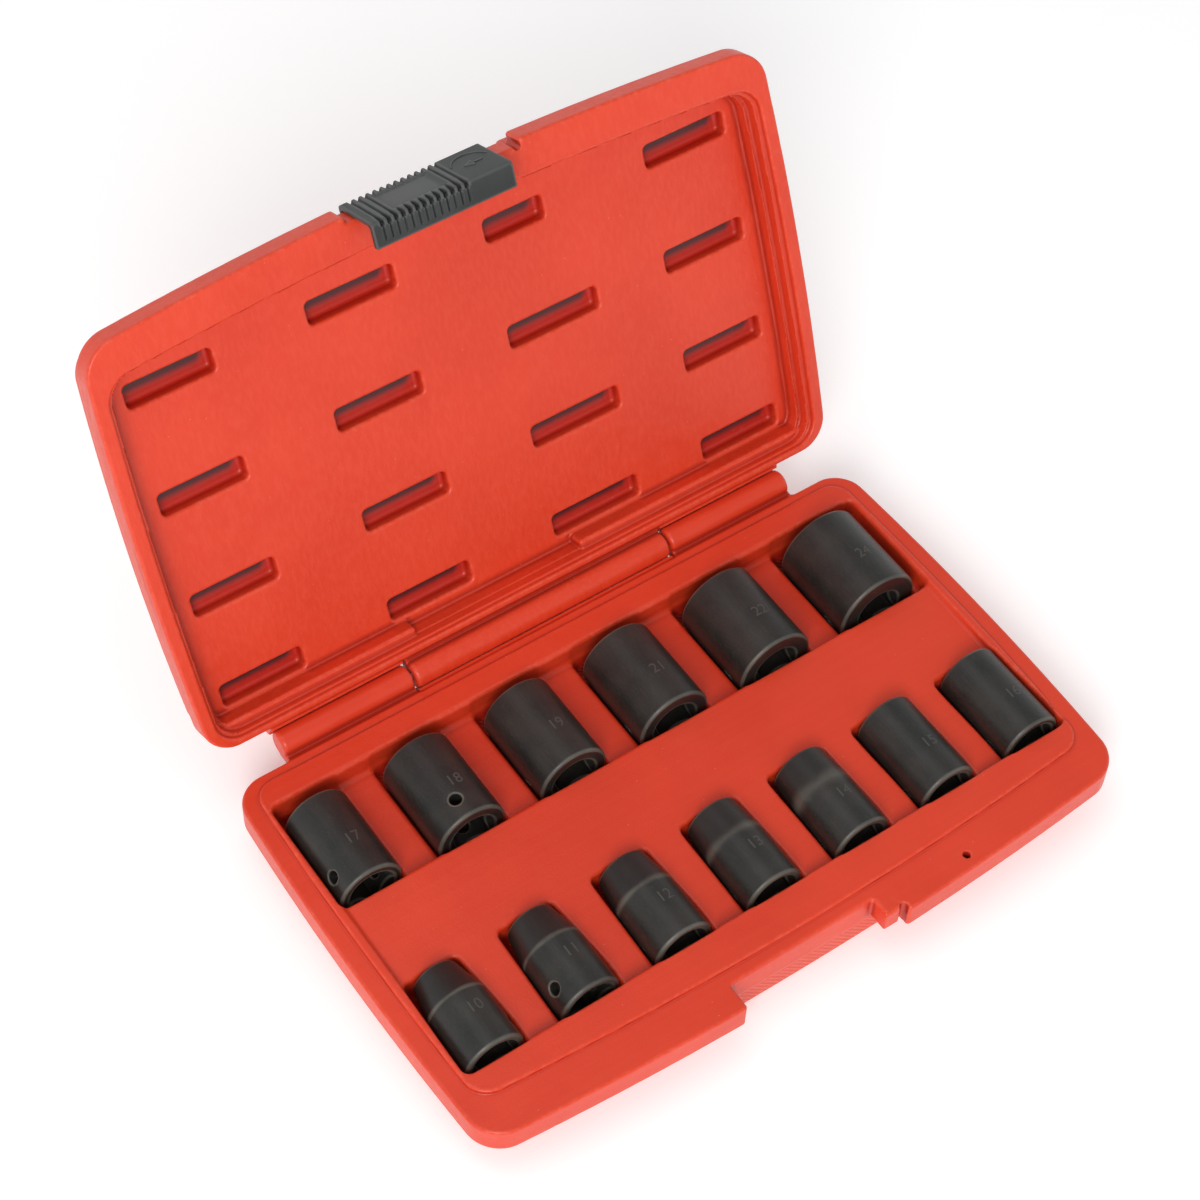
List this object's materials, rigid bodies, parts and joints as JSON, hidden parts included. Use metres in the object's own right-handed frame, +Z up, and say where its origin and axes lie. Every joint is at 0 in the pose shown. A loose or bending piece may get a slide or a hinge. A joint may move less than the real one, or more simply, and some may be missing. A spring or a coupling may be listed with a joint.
{
  "type": "socket set in case",
  "caption": "Impact sockets with square drives, bedded in two rows in the tray of an open double-walled carrying case with a hinged lid and a sliding latch.",
  "frame": {"origin": "centre of the case's underside", "axes": "+X runs to the right along the hinge, as seen from the front; +Y runs to the back, towards the hinge; +Z is up"},
  "size_m": [0.276, 0.2602, 0.1922],
  "materials": {
    "case_plastic": "satin moulded polyethylene, fine streaky grain",
    "latch_plastic": "satin moulded plastic",
    "socket_steel": "black oxide on forged steel, satin and slightly oily",
    "pin_steel": "drawn wire"
  },
  "bodies": {
    "base": {"case_base": "case_plastic", "hinge_pin_left": "pin_steel", "hinge_pin_right": "pin_steel"},
    "lid": {"case_lid": "case_plastic"},
    "latch": {"latch": "latch_plastic"},
    "socket_10": {"socket_10mm": "socket_steel"},
    "socket_11": {"socket_11mm": "socket_steel"},
    "socket_12": {"socket_12mm": "socket_steel"},
    "socket_13": {"socket_13mm": "socket_steel"},
    "socket_14": {"socket_14mm": "socket_steel"},
    "socket_15": {"socket_15mm": "socket_steel"},
    "socket_16": {"socket_16mm": "socket_steel"},
    "socket_17": {"socket_17mm": "socket_steel"},
    "socket_18": {"socket_18mm": "socket_steel"},
    "socket_19": {"socket_19mm": "socket_steel"},
    "socket_21": {"socket_21mm": "socket_steel"},
    "socket_22": {"socket_22mm": "socket_steel"},
    "socket_24": {"socket_24mm": "socket_steel"}
  },
  "joints": [
    {"name": "lid_hinge", "type": "hinge", "parent": "base", "child": "lid", "pos_m": [0, 0.0929, 0.024], "axis": [-1, 0, 0], "range_deg": [-112.2, 67.8]},
    {"name": "latch_slide", "type": "slide", "parent": "lid", "child": "latch", "axis": [1, 0, 0], "range_m": [0, 0.009]},
    {"name": "socket_10_lift", "type": "slide", "parent": "base", "child": "socket_10", "axis": [0, 0, 1], "range_m": [0, 0.06]},
    {"name": "socket_11_lift", "type": "slide", "parent": "base", "child": "socket_11", "axis": [0, 0, 1], "range_m": [0, 0.06]},
    {"name": "socket_12_lift", "type": "slide", "parent": "base", "child": "socket_12", "axis": [0, 0, 1], "range_m": [0, 0.06]},
    {"name": "socket_13_lift", "type": "slide", "parent": "base", "child": "socket_13", "axis": [0, 0, 1], "range_m": [0, 0.06]},
    {"name": "socket_14_lift", "type": "slide", "parent": "base", "child": "socket_14", "axis": [0, 0, 1], "range_m": [0, 0.06]},
    {"name": "socket_15_lift", "type": "slide", "parent": "base", "child": "socket_15", "axis": [0, 0, 1], "range_m": [0, 0.06]},
    {"name": "socket_16_lift", "type": "slide", "parent": "base", "child": "socket_16", "axis": [0, 0, 1], "range_m": [0, 0.06]},
    {"name": "socket_17_lift", "type": "slide", "parent": "base", "child": "socket_17", "axis": [0, 0, 1], "range_m": [0, 0.06]},
    {"name": "socket_18_lift", "type": "slide", "parent": "base", "child": "socket_18", "axis": [0, 0, 1], "range_m": [0, 0.06]},
    {"name": "socket_19_lift", "type": "slide", "parent": "base", "child": "socket_19", "axis": [0, 0, 1], "range_m": [0, 0.06]},
    {"name": "socket_21_lift", "type": "slide", "parent": "base", "child": "socket_21", "axis": [0, 0, 1], "range_m": [0, 0.06]},
    {"name": "socket_22_lift", "type": "slide", "parent": "base", "child": "socket_22", "axis": [0, 0, 1], "range_m": [0, 0.06]},
    {"name": "socket_24_lift", "type": "slide", "parent": "base", "child": "socket_24", "axis": [0, 0, 1], "range_m": [0, 0.06]}
  ]
}
